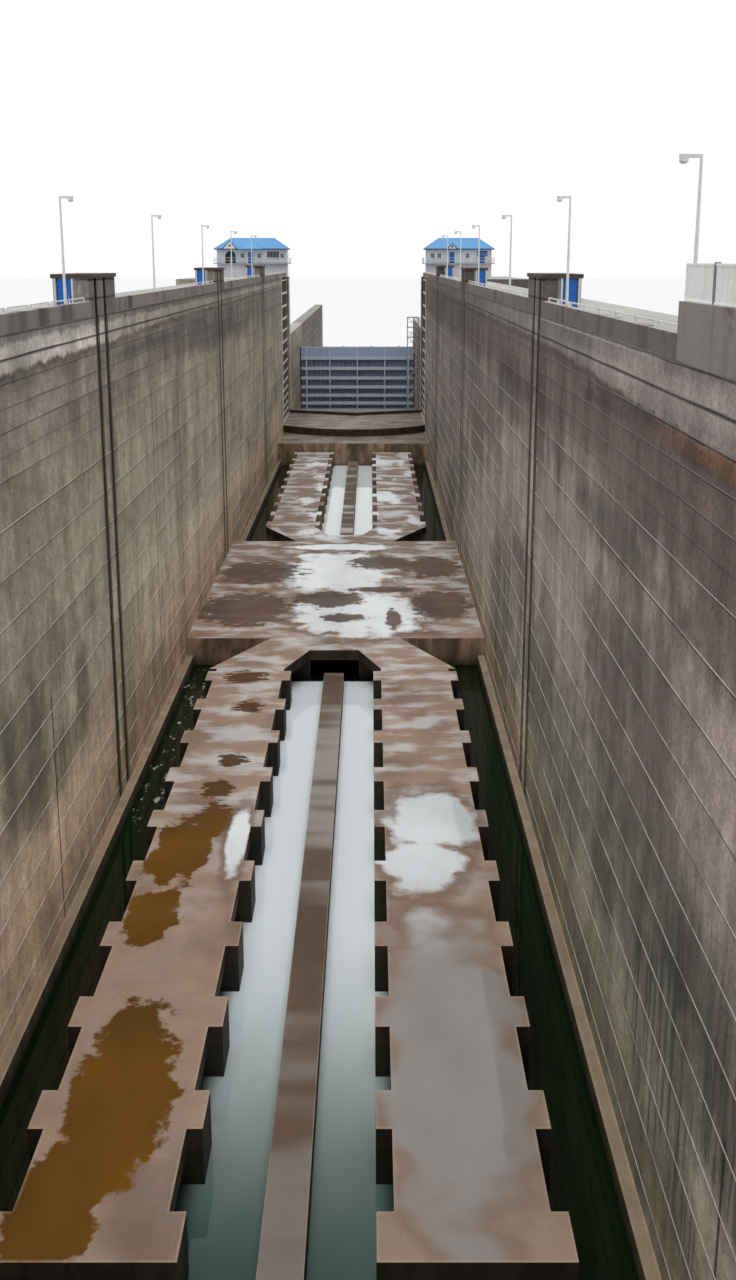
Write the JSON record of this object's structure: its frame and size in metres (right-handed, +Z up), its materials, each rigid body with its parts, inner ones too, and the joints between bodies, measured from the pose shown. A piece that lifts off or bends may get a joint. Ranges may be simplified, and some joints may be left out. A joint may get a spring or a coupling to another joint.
{
  "type": "navigation lock, 1:10 scale model",
  "caption": "Drained ship lock chamber with toothed floor culverts, open lower mitre gates, a maintenance bulkhead, bitt towers and two control houses.",
  "frame": {"origin": "middle of the flat underside", "axes": "+X right and +Y downstream for someone looking downstream, +Z up"},
  "size_m": [6, 39.6, 4.672],
  "materials": {
    "wall_concrete": "cast concrete with lift lines, streaks and tide stains",
    "floor_concrete": "wet concrete with silt and shallow puddles",
    "house_render": "matt render",
    "roof_metal": "light blue standing seam",
    "blue_door": "strong blue paint",
    "window_glass": "dark glass",
    "white_metal": "white paint",
    "bulkhead_steel": "blue-grey paint",
    "gate_steel": "weathered grey-brown paint",
    "awning_blue": "dark blue coated cloth",
    "plain_steel": "galvanised"
  },
  "bodies": {
    "lock": {"bitt_towers": "wall_concrete", "bulkhead_frame": "bulkhead_steel", "bulkhead_plate": "bulkhead_steel", "centre_dividers": "floor_concrete", "chamber_floor": "floor_concrete", "control_house_awning": "awning_blue", "control_house_decks": "house_render", "control_house_lower_storeys": "house_render", "control_house_railings": "white_metal", "control_house_roofs": "roof_metal", "control_house_walls": "house_render", "control_house_windows": "window_glass", "corner_guards": "plain_steel", "crossover_block": "floor_concrete", "culvert_roofs": "floor_concrete", "fixed_doors": "blue_door", "gate_backing_walls": "wall_concrete", "gate_bay_floors": "floor_concrete", "gate_face_walls": "wall_concrete", "gate_sills": "floor_concrete", "gate_sweep_floors": "floor_concrete", "guard_panels": "white_metal", "left_chamber_wall": "wall_concrete", "light_poles": "white_metal", "parapet_rails": "white_metal", "parapets": "wall_concrete", "port_piers": "floor_concrete", "raised_parapets": "wall_concrete", "recess_footings": "floor_concrete", "right_chamber_wall": "wall_concrete", "scaffold_tower": "plain_steel", "service_room_end_walls": "wall_concrete", "service_room_far_walls": "wall_concrete", "service_room_roofs": "wall_concrete", "splayed_roof_slabs": "floor_concrete", "tail_and_guide_walls": "wall_concrete", "tail_apron": "floor_concrete", "upper_left_leaf": "gate_steel", "upper_right_leaf": "gate_steel", "wall_ledges": "floor_concrete"},
    "left_gate": {"lower_left_leaf_frame": "gate_steel", "lower_left_leaf_skin": "gate_steel"},
    "left_room_2_door_leaf": {"left_room_2_door": "blue_door"},
    "left_room_3_door_leaf": {"left_room_3_door": "blue_door"},
    "left_room_4_door_leaf": {"left_room_4_door": "blue_door"},
    "right_gate": {"lower_right_leaf_frame": "gate_steel", "lower_right_leaf_skin": "gate_steel"},
    "right_room_2_door_leaf": {"right_room_2_door": "blue_door"},
    "right_room_3_door_leaf": {"right_room_3_door": "blue_door"},
    "right_room_4_door_leaf": {"right_room_4_door": "blue_door"}
  },
  "joints": [
    {"name": "left_gate_swing", "type": "hinge", "parent": "lock", "child": "left_gate", "pos_m": [-1.41, 4.4, 1.28], "axis": [0, 0, 1], "range_deg": [0, 71.5]},
    {"name": "left_room_2_door_swing", "type": "hinge", "parent": "lock", "child": "left_room_2_door_leaf", "pos_m": [-1.5085, -10.91, 3.946], "axis": [0, 0, -1], "range_deg": [0, 95]},
    {"name": "left_room_3_door_swing", "type": "hinge", "parent": "lock", "child": "left_room_3_door_leaf", "pos_m": [-1.5085, -5.63, 3.946], "axis": [0, 0, -1], "range_deg": [0, 95]},
    {"name": "left_room_4_door_swing", "type": "hinge", "parent": "lock", "child": "left_room_4_door_leaf", "pos_m": [-1.5085, -0.84, 3.946], "axis": [0, 0, -1], "range_deg": [0, 95]},
    {"name": "right_gate_swing", "type": "hinge", "parent": "lock", "child": "right_gate", "pos_m": [1.41, 4.4, 1.28], "axis": [0, 0, -1], "range_deg": [0, 71.5]},
    {"name": "right_room_2_door_swing", "type": "hinge", "parent": "lock", "child": "right_room_2_door_leaf", "pos_m": [1.5085, -10.91, 3.946], "axis": [0, 0, 1], "range_deg": [0, 95]},
    {"name": "right_room_3_door_swing", "type": "hinge", "parent": "lock", "child": "right_room_3_door_leaf", "pos_m": [1.5085, -5.63, 3.946], "axis": [0, 0, 1], "range_deg": [0, 95]},
    {"name": "right_room_4_door_swing", "type": "hinge", "parent": "lock", "child": "right_room_4_door_leaf", "pos_m": [1.5085, -0.84, 3.946], "axis": [0, 0, 1], "range_deg": [0, 95]}
  ]
}
